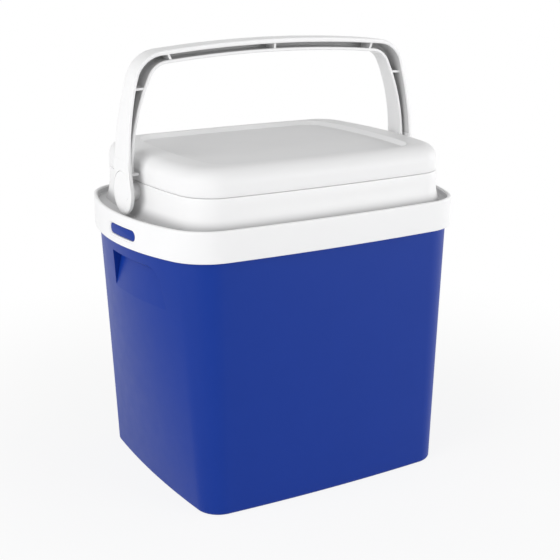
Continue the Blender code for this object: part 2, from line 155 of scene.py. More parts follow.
def white_to_the_eye(tree, near_share):
    """Glow for the rays that see the floor: near_share at the chest, all of it far away."""
    whole = seen_directly(tree)
    place = tree.nodes.new("ShaderNodeTexCoord")
    reach = tree.nodes.new("ShaderNodeVectorMath")
    reach.operation = "LENGTH"
    link(tree, place.outputs["Object"], reach.inputs[0])
    near = map_range(tree, reach.outputs["Value"], (GLOW_NEAR, GLOW_FAR), (near_share, 1.0), True)
    share = tree.nodes.new("ShaderNodeMath")
    share.operation = "MULTIPLY"
    link(tree, near, share.inputs[0])
    link(tree, whole, share.inputs[1])
    return share.outputs[0]


FLOOR_HALF = 6.0
FLOOR_GLOW = 0.86
floor_mesh = bpy.data.meshes.new("studio_floor")
floor_mesh.from_pydata([(-FLOOR_HALF, -FLOOR_HALF, 0.0), (FLOOR_HALF, -FLOOR_HALF, 0.0),
                        (FLOOR_HALF, FLOOR_HALF, 0.0), (-FLOOR_HALF, FLOOR_HALF, 0.0)], [], [(0, 1, 2, 3)])
floor = add_object("studio_floor", floor_mesh)
floor_paint = bpy.data.materials.new("studio_floor_paint")
floor_paint.use_nodes = True
tree = floor_paint.node_tree
tree.nodes.clear()
matt = tree.nodes.new("ShaderNodeBsdfDiffuse")
matt.inputs["Color"].default_value = (0.90, 0.90, 0.90, 1.0)
glow = tree.nodes.new("ShaderNodeEmission")
glow.inputs["Color"].default_value = (1.0, 1.0, 1.0, 1.0)
mixed_output(tree, white_to_the_eye(tree, FLOOR_GLOW), matt, glow, "ShaderNodeOutputMaterial")
floor_mesh.materials.append(floor_paint)

def background(tree, level):
    """A white background of a given level."""
    node = tree.nodes.new("ShaderNodeBackground")
    node.inputs["Color"].default_value = (1.0, 1.0, 1.0, 1.0)
    node.inputs["Strength"].default_value = level
    return node


FILL_LEVEL, SEEN_LEVEL = 0.38, 1.0
world = bpy.data.worlds.new("studio_world")
scene.world = world
world.use_nodes = True
tree = world.node_tree
tree.nodes.clear()
mixed_output(tree, seen_directly(tree), background(tree, FILL_LEVEL), background(tree, SEEN_LEVEL),
             "ShaderNodeOutputWorld")
scene.view_settings.view_transform = "Standard"
print("floor and world ready, fill level", FILL_LEVEL)

# %% Soft lamps
def soft_lamp(name, place, aim, width, height, power):
    """A rectangular area lamp that looks at a point."""
    data = bpy.data.lights.new(name, "AREA")
    data.shape = "RECTANGLE"
    data.size = width
    data.size_y = height
    data.energy = power
    lamp = add_object(name, data)
    lamp.location = place
    lamp.rotation_euler = (Vector(aim) - Vector(place)).to_track_quat("-Z", "Y").to_euler()
    return lamp


soft_lamp("key_lamp", (-2.1, -0.5, 1.0), (0.0, 0.0, 0.30), 2.0, 2.0, 35.5)
soft_lamp("front_lamp", (1.5, -2.3, 0.75), (0.0, 0.0, 0.25), 1.6, 1.4, 31.0)
soft_lamp("side_lamp", (2.2, -0.35, 0.65), (0.0, 0.0, 0.25), 1.2, 1.2, 11.0)

# %% [markdown]
# ## Plastics
# Every visible piece is injection-moulded plastic. Up close such a skin isn't one
# flat colour: the gloss varies a little, the pigment is faintly cloudy, and the
# mould leaves a fine orange-peel. One function builds that from noise on Object
# coordinates, so the pattern stays on the piece when it moves.

# %% Moulded plastic finishes
def noise(tree, place, scale, detail):
    node = tree.nodes.new("ShaderNodeTexNoise")
    node.inputs["Scale"].default_value = scale
    node.inputs["Detail"].default_value = detail
    link(tree, place, node.inputs["Vector"])
    return node.outputs["Fac"]


def spread(tree, value, low, high):
    """Map the middle of a noise to a range of values."""
    return map_range(tree, value, (0.3, 0.7), (low, high))


def two_tones(tree, share, first, second):
    """Blend two colours by a factor; the second may come from other nodes."""
    node = tree.nodes.new("ShaderNodeMix")
    node.data_type = "RGBA"
    colours = [s for s in node.inputs if s.type == "RGBA"]
    colours[0].default_value = (*first, 1.0)
    if isinstance(second, bpy.types.NodeSocket):
        link(tree, second, colours[1])
    else:
        colours[1].default_value = (*second, 1.0)
    link(tree, share, node.inputs[0])
    return [s for s in node.outputs if s.type == "RGBA"][0]


def relief(tree, height, depth, skin):
    """Bump a skin by a height from other nodes."""
    bump = tree.nodes.new("ShaderNodeBump")
    bump.inputs["Distance"].default_value = depth
    link(tree, height, bump.inputs["Height"])
    link(tree, bump.outputs["Normal"], skin.inputs["Normal"])
    return bump


def moulded_plastic(name, light, dark, gloss, grain_scale, grain_height, specular=0.3):
    """Two close tones, a range of roughness and a fine grain of a given height."""
    mat = bpy.data.materials.new(name)
    mat.use_nodes = True
    tree = mat.node_tree
    skin = tree.nodes["Principled BSDF"]
    place = tree.nodes.new("ShaderNodeTexCoord").outputs["Object"]
    cloud = spread(tree, noise(tree, place, 22.0, 3.0), 0.0, 1.0)
    link(tree, two_tones(tree, cloud, light, dark), skin.inputs["Base Color"])
    link(tree, spread(tree, noise(tree, place, 60.0, 4.0), gloss[0], gloss[1]), skin.inputs["Roughness"])
    relief(tree, noise(tree, place, grain_scale, 2.0), grain_height, skin)
    skin.inputs["Specular IOR Level"].default_value = specular
    mat.diffuse_color = (*light, 1.0)
    return mat


FINE_GRAIN = (500.0, 0.000003)
shell_blue = moulded_plastic("shell_blue_plastic", (0.0034, 0.0330, 0.2720), (0.0030, 0.0320, 0.2660),
                             (0.42, 0.46), 500.0, 0.00001, 0.19)
rim_white = moulded_plastic("rim_white_plastic", (0.858, 0.858, 0.860), (0.852, 0.852, 0.855),
                            (0.30, 0.32), *FINE_GRAIN)
lid_white = moulded_plastic("lid_white_plastic", (0.850, 0.850, 0.852), (0.844, 0.844, 0.847),
                            (0.34, 0.37), *FINE_GRAIN, 0.15)
tray_satin = moulded_plastic("tray_satin_plastic", (0.835, 0.835, 0.838), (0.820, 0.820, 0.824),
                             (0.44, 0.47), 1600.0, 0.00004)
handle_white = moulded_plastic("handle_white_plastic", (0.850, 0.850, 0.852), (0.844, 0.844, 0.847),
                               (0.30, 0.32), *FINE_GRAIN)
# Painted shade: a darker grey for the inside of the handle's channel.
handle_core_shade = moulded_plastic("handle_core_plastic", (0.600, 0.600, 0.602), (0.585, 0.585, 0.588),
                              (0.45, 0.52), 700.0, 0.00001, 0.25)
button_white = moulded_plastic("button_white_plastic", (0.860, 0.860, 0.862), (0.854, 0.854, 0.857),
                               (0.27, 0.29), *FINE_GRAIN)
liner_white = moulded_plastic("liner_white_plastic", (0.805, 0.808, 0.812), (0.793, 0.797, 0.802),
                              (0.33, 0.39), 500.0, 0.00002)
print("plastics made:", len([m for m in bpy.data.materials if m.name.endswith("plastic")]))

# %% [markdown]
# ## Insulation foam
# The foam fills the space between the skins. It never shows from outside, so the
# CAD solids stay, and they get a cellular finish: Voronoi cells for the beads and
# a bump from the same cells.

# %% Bead foam
bead_foam = bpy.data.materials.new("bead_foam")
bead_foam.use_nodes = True
tree = bead_foam.node_tree
skin = tree.nodes["Principled BSDF"]
place = tree.nodes.new("ShaderNodeTexCoord").outputs["Object"]
cells = tree.nodes.new("ShaderNodeTexVoronoi")
cells.inputs["Scale"].default_value = 320.0
link(tree, place, cells.inputs["Vector"])
bead_share = spread(tree, cells.outputs["Distance"], 0.0, 1.0)
link(tree, two_tones(tree, bead_share, (0.88, 0.87, 0.83), (0.70, 0.69, 0.64)), skin.inputs["Base Color"])
link(tree, spread(tree, cells.outputs["Distance"], 0.80, 0.95), skin.inputs["Roughness"])
relief(tree, cells.outputs["Distance"], 0.0006, skin).invert = True
for node_name in ("body_insulation", "lid_insulation"):
    mesh = frame["nodes"][node_name].data
    mesh.materials.clear()
    mesh.materials.append(bead_foam)
print("foam on", ("body_insulation", "lid_insulation"))

# %% [markdown]
# ## Sizes
# The main sizes are read from the CAD boxes, so the dressed pieces lie where the
# solids are. Radii that a box can't tell are repeated here by name.

# %% Sizes from the CAD boxes
rim_low, rim_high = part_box("rim_collar")
lid_low, lid_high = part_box("lid_cover")
bow_low, bow_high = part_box("handle_bow")
liner_low, liner_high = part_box("inner_liner")
pan_low, pan_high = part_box("lid_liner")
cap_low, cap_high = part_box("pivot_button_right")

RIM_LENGTH = rim_high.x - rim_low.x
RIM_DEPTH = rim_high.y - rim_low.y
BODY_HEIGHT = rim_low.z
SEAM = rim_high.z
END_SHELF = 0.029
NECK_RISE = 0.0305
TAPER_LENGTH, TAPER_DEPTH = 0.077, 0.013
LID_LENGTH = RIM_LENGTH - 2 * END_SHELF
LID_DEPTH = lid_high.y - lid_low.y
LID_BOTTOM = lid_low.z
LID_TOP = lid_high.z
PIVOT = (cap_low.z + cap_high.z) / 2
RIM_TOP = SEAM - NECK_RISE
BASE_LENGTH = RIM_LENGTH - TAPER_LENGTH
BASE_DEPTH = RIM_DEPTH - TAPER_DEPTH
RIM_OVERHANG = 0.0055
SHELL_WALL = 0.003
print("rim", round(RIM_LENGTH, 4), round(RIM_DEPTH, 4), "lid", round(LID_LENGTH, 4), round(LID_DEPTH, 4))

# %% [markdown]
# ## Outlines and skins
# Seen from above, each moulding has bowed ends, round corners and nearly straight
# sides: three arcs that meet smoothly. Stacks of such outlines, joined by quads,
# make skins with a clean grid.

# %% Outline of three tangent arcs
END_STEPS = 24
CORNER_STEPS = 16
SIDE_STEPS = 14
SIDE_BOW = 2.200


def quarter(half_length, half_depth, corner, end_bow, side_bow=SIDE_BOW):
    """Points from the middle of the right end to the middle of the back."""
    end = Vector((half_length - end_bow, 0.0))
    side = Vector((0.0, half_depth - side_bow))
    reach_end = end_bow - corner
    reach_side = side_bow - corner
    span = side - end
    along = (reach_end ** 2 - reach_side ** 2 + span.length ** 2) / (2 * span.length)
    across = math.sqrt(max(reach_end ** 2 - along ** 2, 0.0))
    unit = span.normalized()
    choices = [end + unit * along + Vector((-unit.y, unit.x)) * across * way for way in (1, -1)]
    centre = max(choices, key=lambda point: point.x + point.y)
    start = math.atan2(centre.y - end.y, centre.x - end.x)
    stop = math.atan2(centre.y - side.y, centre.x - side.x)
    points = []
    for middle, radius, first, final, count in ((end, end_bow, 0.0, start, END_STEPS),
                                                (centre, corner, start, stop, CORNER_STEPS),
                                                (side, side_bow, stop, math.pi / 2, SIDE_STEPS)):
        for step in range(count):
            angle = first + (final - first) * step / count
            points.append(middle + radius * Vector((math.cos(angle), math.sin(angle))))
    points.append(Vector((0.0, half_depth)))
    return points


def ring_of(points):
    """Mirror a quarter outline into a closed ring."""
    turned = points[:0:-1]
    ring = list(points[:-1])
    ring += [Vector((-p.x, p.y)) for p in turned]
    ring += [Vector((-p.x, -p.y)) for p in points[:-1]]
    ring += [Vector((p.x, -p.y)) for p in turned]
    return ring


RIM_CORNER, RIM_END_BOW = 0.054, 0.280
BASE_CORNER, BASE_END_BOW = 0.028, 1.200
LID_CORNER, LID_END_BOW = 0.042, 0.540
LEAST_CORNER = 0.012


def drawn_in(length, depth, corner, end_bow, inset, end_inset=0.0):
    """An outline drawn in by an inset, and by a further one at its ends."""
    corner = max(corner - inset + end_inset / 2, LEAST_CORNER)
    return ring_of(quarter(length / 2 - inset - end_inset, depth / 2 - inset, corner,
                           end_bow - inset, SIDE_BOW - inset))


def rim_ring(inset):
    return drawn_in(RIM_LENGTH, RIM_DEPTH, RIM_CORNER, RIM_END_BOW, inset)


def base_ring(inset):
    return drawn_in(BASE_LENGTH, BASE_DEPTH, BASE_CORNER, BASE_END_BOW, inset)


def lid_ring(inset, end_inset=0.0):
    """The outline that lid and neck share."""
    return drawn_in(LID_LENGTH, LID_DEPTH, LID_CORNER, LID_END_BOW, inset, end_inset)


print("points in one outline:", len(rim_ring(0.0)))

# %% Skins between outlines
def at_height(ring, height):
    return [Vector((p.x, p.y, height)) for p in ring]


def skin_object(name, rings, mat=None, closed=False):
    """Join a stack of rings by quads and cap open ends."""
    bm = bmesh.new()
    rows = [[bm.verts.new(point) for point in ring] for ring in rings]
    pairs = list(zip(rows, rows[1:]))
    if closed:
        pairs.append((rows[-1], rows[0]))
    for first, second in pairs:
        for here in range(len(first)):
            there = (here + 1) % len(first)
            bm.faces.new((first[here], first[there], second[there], second[here]))
    if not closed:
        bm.faces.new(rows[0][::-1])
        bm.faces.new(rows[-1])
    bmesh.ops.recalc_face_normals(bm, faces=bm.faces)
    mesh = bpy.data.meshes.new(name)
    bm.to_mesh(mesh)
    bm.free()
    if mat:
        mesh.materials.append(mat)
    return add_object(name, mesh)


def smooth(thing, crease=38.0):
    """Smooth shading that breaks at edges sharper than the crease angle."""
    mesh = thing.data
    mesh.polygons.foreach_set("use_smooth", [True] * len(mesh.polygons))
    mesh.set_sharp_from_angle(angle=math.radians(crease))
    mesh.update()
    return thing


def evaluated_mesh(thing):
    """The mesh of an object with its modifiers applied."""
    bpy.context.view_layer.update()
    return bpy.data.meshes.new_from_object(thing.evaluated_get(bpy.context.evaluated_depsgraph_get()))


def combine(target, tool, operation):
    """Apply a Boolean to the target and remove the tool."""
    change = target.modifiers.new(operation, "BOOLEAN")
    change.operation = operation
    change.solver = "EXACT"
    change.object = tool
    result = evaluated_mesh(target)
    old = target.data
    target.modifiers.clear()
    target.data = result
    result.name = target.name
    bpy.data.meshes.remove(old)
    bpy.data.objects.remove(tool, do_unlink=True)
    return target


def fillet(corner, before, after, radius, steps):
    """Arc points that round the corner of a section between two neighbours."""
    corner, before, after = (Vector(p) for p in (corner, before, after))
    first = (before - corner).normalized()
    second = (after - corner).normalized()
    half = first.angle(second) / 2
    run = radius / math.tan(half)
    centre = corner + (first + second).normalized() * (radius / math.sin(half))
    start = corner + first * run - centre
    swing = start.angle_signed(corner + second * run - centre)
    return [centre + Matrix.Rotation(-swing * step / steps, 2) @ start for step in range(steps + 1)]


def rounded(section, steps=5):
    """A closed section of (inset, height, radius) corners with its corners rounded."""
    points = []
    for here, (inset, height, radius) in enumerate(section):
        before = section[here - 1]
        after = section[(here + 1) % len(section)]
        if radius:
            points += fillet((inset, height), before[:2], after[:2], radius, steps)
        else:
            points.append(Vector((inset, height)))
    return points


def dress(thing, body, slot_name, *nodes):
    """Hang a finished piece on its body in place of its CAD nodes."""
    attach(thing, body)
    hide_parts(*nodes)
    print(thing.name, "on", body, "-", len(thing.data.polygons), "faces")


# %% [markdown]
# ## Blue shell
# The body is one blue bucket with tapered, slightly bowed walls and a small round
# at the base. It is a stack of outlines that grow from the base to the rim, once
# outside and once inside, so the wall has its real thickness.

# %% Shell
BASE_EDGE = 0.004
BASE_PANEL = 0.030
SHELL_TUCK = 0.0103
WALL_STEPS = 24
EDGE_STEPS = 7


def wall_ring(height, inset):
    """The shell's wall at a height, drawn in by an inset."""
    share = (height - BASE_EDGE) / (BODY_HEIGHT - BASE_EDGE)
    low = base_ring(inset)
    high = rim_ring(RIM_OVERHANG + inset)
    return at_height([a.lerp(b, share) for a, b in zip(low, high)], height)


shell_top = RIM_TOP - SHELL_TUCK
heights = [BASE_EDGE + (BODY_HEIGHT - BASE_EDGE) * step / WALL_STEPS for step in range(WALL_STEPS + 1)]
rings = [at_height(base_ring(BASE_EDGE + BASE_PANEL), 0.0)]
for step in range(EDGE_STEPS):
    turn = math.pi / 2 * step / EDGE_STEPS
    rings.append(at_height(base_ring(BASE_EDGE * (1 - math.sin(turn))), BASE_EDGE * (1 - math.cos(turn))))
rings += [wall_ring(z, 0.0) for z in heights]
rings.append(at_height(rim_ring(RIM_OVERHANG), shell_top))
rings.append(at_height(rim_ring(RIM_OVERHANG + SHELL_WALL), shell_top))
rings += [wall_ring(z, SHELL_WALL) for z in heights[::-1]]
rings.append(at_height(base_ring(SHELL_WALL + BASE_EDGE), SHELL_WALL))
rings.append(at_height(base_ring(SHELL_WALL + BASE_EDGE + BASE_PANEL), SHELL_WALL))
shell = skin_object("blue_shell", rings, shell_blue)

# %% [markdown]
# Each end has a finger pocket: a wedge that is deepest under its top edge and runs
# out flat lower down. Its slices stand side by side along the bowed wall, and one
# top corner is round. The pocket's back is joined to the shell first, and then the
# hollow is cut out of both.

# %% Finger pockets in the shell
POCKET_TOP = BODY_HEIGHT - 0.0145
POCKET_HEIGHT = 0.044
POCKET_CEILING = 0.006
POCKET_DEPTH = 0.010
POCKET_WIDTH = 0.097
POCKET_SPREAD = 0.007
POCKET_SHIFT = 0.026
POCKET_ROUND = 0.016
POCKET_STEPS = 48
POCKET_LIP = 0.00015
BACK_OVERLAP = 0.0003


def end_reach(y, inset):
    """Distance from the middle plane to the rim's bowed end at a given y."""
    bow = RIM_END_BOW - inset
    return RIM_LENGTH / 2 - inset - bow + math.sqrt(bow ** 2 - y ** 2)


def wall_reach(height, y):
    """Distance from the middle plane to the outside of the shell's end."""
    low = BASE_LENGTH / 2 - BASE_END_BOW + math.sqrt(BASE_END_BOW ** 2 - y ** 2)
    share = (height - BASE_EDGE) / (BODY_HEIGHT - BASE_EDGE)
    return low + (end_reach(y, RIM_OVERHANG) - low) * share


def pocket(name, side, grow, outside):
    """The wedge of a finger pocket, grown by a wall, that follows the bowed end."""
    crest = POCKET_TOP + grow
    bottom = POCKET_TOP - POCKET_HEIGHT - grow
    half_width = POCKET_WIDTH / 2 + grow
    edge = POCKET_LIP - grow
    rings = []
    for step in range(POCKET_STEPS + 1):
        along = math.sin(math.pi * (step / POCKET_STEPS - 0.5))
        past = max(half_width * along - half_width + POCKET_ROUND, 0.0)
        top = crest - POCKET_ROUND + math.sqrt(max(POCKET_ROUND ** 2 - past ** 2, 0.0))
        deepest = top - POCKET_CEILING
        depth = POCKET_DEPTH * (deepest - bottom) / (crest - POCKET_CEILING - bottom) + grow
        ring = []
        wedge = ((top, outside), (bottom, outside), (bottom, edge), (deepest, -depth), (top, edge))
        for height, out in wedge:
            lean = POCKET_SPREAD * (crest - height) / (crest - bottom)
            y = side * (POCKET_SHIFT + (half_width + lean) * along)
            ring.append(Vector((side * (wall_reach(height, y) + out), y, height)))
        rings.append(ring)
    return skin_object(name, rings)


for side in (1, -1):
    combine(shell, pocket("pocket_back", side, SHELL_WALL, BACK_OVERLAP - SHELL_WALL), "UNION")
    combine(shell, pocket("pocket_hollow", side, 0.0, SHELL_WALL), "DIFFERENCE")
print("pockets cut,", len(shell.data.polygons), "faces")

# %% [markdown]
# The collar hooks over a blue lug on each end of the shell. The lug is a bar with
# round ends, so it is one oblong outline, pushed outwards along the bowed end.

# %% Lugs on the shell
LUG_LENGTH = 0.0575
LUG_HEIGHT = 0.0122
LUG_CLEARANCE = 0.0006
LUG_RECESS = 0.0012
LUG_SHIFT = 0.0186
LUG_MIDDLE = RIM_TOP - 0.0193
LUG_EDGE = 0.0008
LUG_BEVEL = 0.00025
TURN_STEPS = 16
STRAIGHT_STEPS = 12


def oblong_ring(side, grow, inset):
    """A long outline with round ends, laid on the bowed end of the rim."""
    radius = LUG_HEIGHT / 2 + grow
    straight = LUG_LENGTH / 2 - LUG_HEIGHT / 2
    ring = []
    for turn in (1, -1):
        for step in range(TURN_STEPS + 1):
            angle = math.pi * step / TURN_STEPS - math.pi / 2
            ring.append((turn * (straight + radius * math.cos(angle)), turn * radius * math.sin(angle)))
        for step in range(1, STRAIGHT_STEPS):
            ring.append((turn * straight * (1 - 2 * step / STRAIGHT_STEPS), turn * radius))
    ring = [(y + side * LUG_SHIFT, z) for y, z in ring]
    return [Vector((side * end_reach(y, inset), y, LUG_MIDDLE + z)) for y, z in ring]


def oblong(name, side, steps):
    """A block with round ends, from steps of growth and inset."""
    return skin_object(name, [oblong_ring(side, grow, inset) for grow, inset in steps])


lug = ((-LUG_CLEARANCE, RIM_OVERHANG + SHELL_WALL / 2), (-LUG_CLEARANCE, LUG_RECESS + LUG_EDGE),
       (-LUG_CLEARANCE - LUG_BEVEL, LUG_RECESS + LUG_BEVEL), (-LUG_CLEARANCE - LUG_EDGE, LUG_RECESS))
for side in (1, -1):
    combine(shell, oblong("lug", side, lug), "UNION")
shell.data.materials.clear()
shell.data.materials.append(shell_blue)
smooth(shell, 42.0)
dress(shell, "chest", "shell_blue", "outer_shell")

# %% [markdown]
# ## White collar
# The collar is one moulding: a skirt that covers the top of the shell, a round
# lip, a gutter behind it, and a neck that carries the lid and flares at its foot.
# Its section is a list of points and arcs, swept round the outlines.

# %% Collar
LIP_WALL = 0.004
GUTTER_DROP, GUTTER_FLOOR, GUTTER_ROUND = 0.0075, 0.0025, 0.0015
GUTTER = RIM_TOP - GUTTER_DROP
NECK_WALL = 0.003
NECK_FLARE, NECK_SWEEP, FLARE_POWER, FLARE_STEPS = 0.0048, 0.028, 2.2, 8
NECK_EDGE = 0.0009
LEDGE_WIDTH = 0.014
LEDGE = SEAM - 0.0024


def arc(centre, radius, first, last, steps):
    """Points of a section along an arc, angles in degrees."""
    turns = [math.radians(first + (last - first) * step / steps) for step in range(steps + 1)]
    return [(centre[0] + radius * math.cos(t), centre[1] + radius * math.sin(t)) for t in turns]


lip = LIP_WALL / 2
skirt = [(0.0, BODY_HEIGHT + 0.0008)]
skirt += [(0.0, BODY_HEIGHT + 0.001 * z) for z in (3, 7, 11.5, 17, 22.5, 26, 29)]
skirt += arc((lip, RIM_TOP - lip), lip, 180, 0, 12)
skirt += arc((LIP_WALL + GUTTER_ROUND, GUTTER + GUTTER_ROUND), GUTTER_ROUND, 180, 270, 4)
under = GUTTER - GUTTER_FLOOR
inside = [(LIP_WALL, under), (LIP_WALL, BODY_HEIGHT + 0.0006), (LIP_WALL - 0.0006, BODY_HEIGHT)]
inside += [(0.0008, BODY_HEIGHT), (0.00025, BODY_HEIGHT + 0.00025)]
shares = [step / FLARE_STEPS for step in range(FLARE_STEPS + 1)]
neck = [(-NECK_FLARE * (1 - share) ** FLARE_POWER, GUTTER + NECK_SWEEP * share) for share in shares]
neck += arc((NECK_EDGE, SEAM - NECK_EDGE), NECK_EDGE, 180, 90, 4)
neck += [(0.006, SEAM), (LEDGE_WIDTH, SEAM), (LEDGE_WIDTH, LEDGE), (NECK_WALL, LEDGE), (NECK_WALL, under)]
rings = [at_height(rim_ring(inset), z) for inset, z in skirt]
rings += [at_height(lid_ring(inset), z) for inset, z in neck]
rings += [at_height(rim_ring(inset), z) for inset, z in inside]
collar = skin_object("rim_collar_skin", rings, rim_white, closed=True)

# %% Slots and bosses of the collar
BOSS_RADIUS = 0.010
BORE_RADIUS = 0.0068
ARM_SETOUT = 0.0065
CLEARANCE = 0.0003
HANDLE_INNER = LID_LENGTH / 2 + ARM_SETOUT
HUB_INNER = HANDLE_INNER - CLEARANCE
ROUND_STEPS = 64


def turned_on_x(name, profile, side, mat=None):
    """Turn a profile of (distance from the middle plane, radius) about the pivot axis."""
    rings = []
    for along, radius in profile:
        turns = [2 * math.pi * step / ROUND_STEPS for step in range(ROUND_STEPS)]
        rings.append([Vector((side * along, radius * math.cos(t), PIVOT + radius * math.sin(t)))
                      for t in turns])
    return skin_object(name, rings, mat)


neck_face = LID_LENGTH / 2
slot = ((0.0, LIP_WALL * 1.5), (0.0, 0.0012), (0.0003, 0.0008), (0.0015, 0.0007), (0.0019, 0.0004),
        (0.0020, -LIP_WALL))
boss = ((neck_face - NECK_WALL / 2, BOSS_RADIUS), (HUB_INNER - CLEARANCE, BOSS_RADIUS))
hole = ((neck_face - NECK_WALL * 2, BORE_RADIUS), (HUB_INNER + NECK_WALL, BORE_RADIUS))
for side in (1, -1):
    combine(collar, oblong("slot", side, slot), "DIFFERENCE")
    combine(collar, turned_on_x("boss", boss, side), "UNION")
    combine(collar, turned_on_x("hole", hole, side), "DIFFERENCE")
collar.data.materials.clear()

# %% [markdown]
# The gutter's floor is painted a darker grey than the polished rim, and the foot of the neck
# fades from that grey to clean white: painted shade, where the lip keeps light off the neck's foot.
# Faces are sorted by their place: those inside the outline of the neck, and those
# between the neck and the lip.

# %% Painted shade in the gutter
SHADE_LOW = RIM_TOP - 0.0045
SHADE_TOP = RIM_TOP + 0.0085
FENCE_GAP = 0.0004
STEEP = 0.8


def add_foot_shade(mat, shade_tone, low, high):
    """Painted shade: grey a plastic towards the foot of a wall, fading to its own colour higher up."""
    tree = mat.node_tree
    base = tree.nodes["Principled BSDF"].inputs["Base Color"]
    place = tree.nodes.new("ShaderNodeSeparateXYZ")
    link(tree, tree.nodes.new("ShaderNodeTexCoord").outputs["Object"], place.inputs[0])
    rise = map_range(tree, place.outputs["Z"], (low, high), soft=True)
    link(tree, two_tones(tree, rise, shade_tone, base.links[0].from_socket), base)


# Painted shade: the neck's foot greys towards the gutter, and the gutter's floor is a darker grey than the
# rim.
neck_foot_shade = moulded_plastic("neck_foot_plastic", (0.858, 0.858, 0.860), (0.852, 0.852, 0.855),
                            (0.34, 0.40), *FINE_GRAIN, 0.2)
add_foot_shade(neck_foot_shade, (0.52, 0.52, 0.525), SHADE_LOW, SHADE_TOP)
gutter_satin_shade = moulded_plastic("gutter_satin_plastic", (0.660, 0.660, 0.663), (0.640, 0.640, 0.643),
                               (0.42, 0.48), *FINE_GRAIN, 0.2)


def inside_outline(point, outline):
    """Even-odd test: is a point inside an outline, seen from above?"""
    odd = False
    for a, b in zip(outline, outline[1:] + outline[:1]):
        if (a.y > point.y) != (b.y > point.y):
            crossing = a.x + (point.y - a.y) * (b.x - a.x) / (b.y - a.y)
            odd = odd != (point.x < crossing)
    return odd


for mat in (rim_white, neck_foot_shade, gutter_satin_shade):
    collar.data.materials.append(mat)
neck_outline = lid_ring(-NECK_FLARE - FENCE_GAP)
lip_outline = rim_ring(LIP_WALL - FENCE_GAP)
# The gutter's floor and the neck's foot get the materials with the painted shade.
for face in collar.data.polygons:
    spot = face.center
    if GUTTER - FENCE_GAP < spot.z < SHADE_TOP and inside_outline(spot, lip_outline):
        if not inside_outline(spot, neck_outline):
            face.material_index = 2 if spot.z < RIM_TOP - lip else 0
        elif abs(face.normal.z) < STEEP:
            face.material_index = 1
counts = [len([f for f in collar.data.polygons if f.material_index == index]) for index in range(3)]
print("faces of the rim, the neck's foot and the gutter:", counts)
smooth(collar)
dress(collar, "chest", "rim_white", "rim_collar")

# %% [markdown]
# ## Lid
# The lid is a cap with a large round along its top edge and a shallow tray in its
# top. The crest round the tray is narrow along the sides and wide at the ends. Like
# the collar, it is a section of arcs and corners that runs round the outline.

# %% Lid cover
LID_EDGE = 0.018
LID_WALL = 0.0025
CREST_WIDTH = 0.002
TRAY_WALL_RUN = 0.004
END_CREST = 0.016
TRAY_DROP = 0.0055
FLAT = 0.0002
TRAY = LID_TOP - TRAY_DROP
tray_inset = LID_EDGE + CREST_WIDTH + TRAY_WALL_RUN


def lid_stations(points):
    """Rings of the lid, whose crest is wider at the ends than along the sides."""
    rings = []
    for inset, height in points:
        end_inset = END_CREST * min(max((inset - LID_EDGE) / CREST_WIDTH, 0.0), 1.0)
        rings.append(at_height(lid_ring(inset, end_inset), height))
    return rings


outside = [(0.0006, LID_BOTTOM), (0.0002, LID_BOTTOM + 0.0002), (0.0, LID_BOTTOM + 0.0006)]
outside += [(0.0, LID_BOTTOM + 0.005), (0.0, LID_BOTTOM + 0.010)]
outside += arc((LID_EDGE, LID_TOP - LID_EDGE), LID_EDGE, 180, 90, 16)
tray_wall = rounded([(LID_EDGE, LID_TOP, 0.0), (LID_EDGE + CREST_WIDTH, LID_TOP, 0.0018),
                     (tray_inset, TRAY, 0.0022), (tray_inset + 0.01, TRAY, 0.0)], 6)
outside += [(p.x, p.y) for p in tray_wall[1:]]
outside += [(0.036, TRAY), (0.044, TRAY)]
inside = [(LID_WALL, LID_BOTTOM)]
inside += arc((LID_EDGE, LID_TOP - LID_EDGE), LID_EDGE - LID_WALL, 180, 90, 8)[:-1]
inside += [(LID_EDGE + CREST_WIDTH, LID_TOP - LID_WALL), (tray_inset - 0.0012, TRAY - LID_WALL)]
inside += [(0.044, TRAY - LID_WALL)]
lid = skin_object("lid_cap", lid_stations(outside[::-1] + inside), lid_white)
lid.data.materials.append(tray_satin)
for face in lid.data.polygons:
    centre = face.center
    if abs(centre.z - TRAY) < FLAT and face.normal.z > 0.5:
        face.material_index = 1
smooth(lid)
dress(lid, "lid", "lid_white", "lid_cover")

# %% [markdown]
# ## Pan under the lid and liner of the chest
# Lifting the lid shows two more mouldings: the pan that plugs the opening and the
# white liner that holds the ice. Both are plain skins with round corners.

# %% Lid pan
LINER_INSET = 0.019
LINER_WALL = 0.0025
PAN_WALL = 0.0022
PLUG_GAP, PLUG_TAPER, PAN_ROUND, PAN_PANEL = 0.003, 0.002, 0.006, 0.020
PLUG = LINER_INSET + LINER_WALL + PLUG_GAP
FOOT = PLUG + PLUG_TAPER
pan_edge = LID_WALL + CLEARANCE
pan_under = pan_high.z - PAN_WALL
pan_section = [(FOOT + PAN_PANEL, pan_low.z)]
pan_section += arc((FOOT + PAN_ROUND, pan_low.z + PAN_ROUND), PAN_ROUND, 270, 180, 6)
pan_section += [(PLUG + 0.0006, pan_under - 0.004), (PLUG, pan_under - 0.0008), (PLUG - 0.0012, pan_under)]
pan_flat = [(pan_edge, pan_under), (pan_edge, pan_high.z), (PLUG + PAN_WALL, pan_high.z)]
pan_inside = [(FOOT + PAN_WALL, pan_low.z + PAN_ROUND), (FOOT + PAN_ROUND, pan_low.z + PAN_WALL)]
pan_inside += [(FOOT + PAN_PANEL, pan_low.z + PAN_WALL)]
rings = [at_height(lid_ring(inset), z) for inset, z in pan_section + pan_flat + pan_inside]
pan = skin_object("lid_pan", rings, liner_white)
smooth(pan)
dress(pan, "lid", "liner_white", "lid_liner")

# %% Liner of the chest
INSULATION = 0.026
LINER_FLANGE = 0.0022
LINER_ROUND = 0.012
LINER_PANEL = 0.020
ROUND_PARTS = 6
liner_under = liner_high.z - LINER_FLANGE
liner_heights = [liner_low.z + (liner_under - liner_low.z) * step / 10 for step in range(2, 11)]


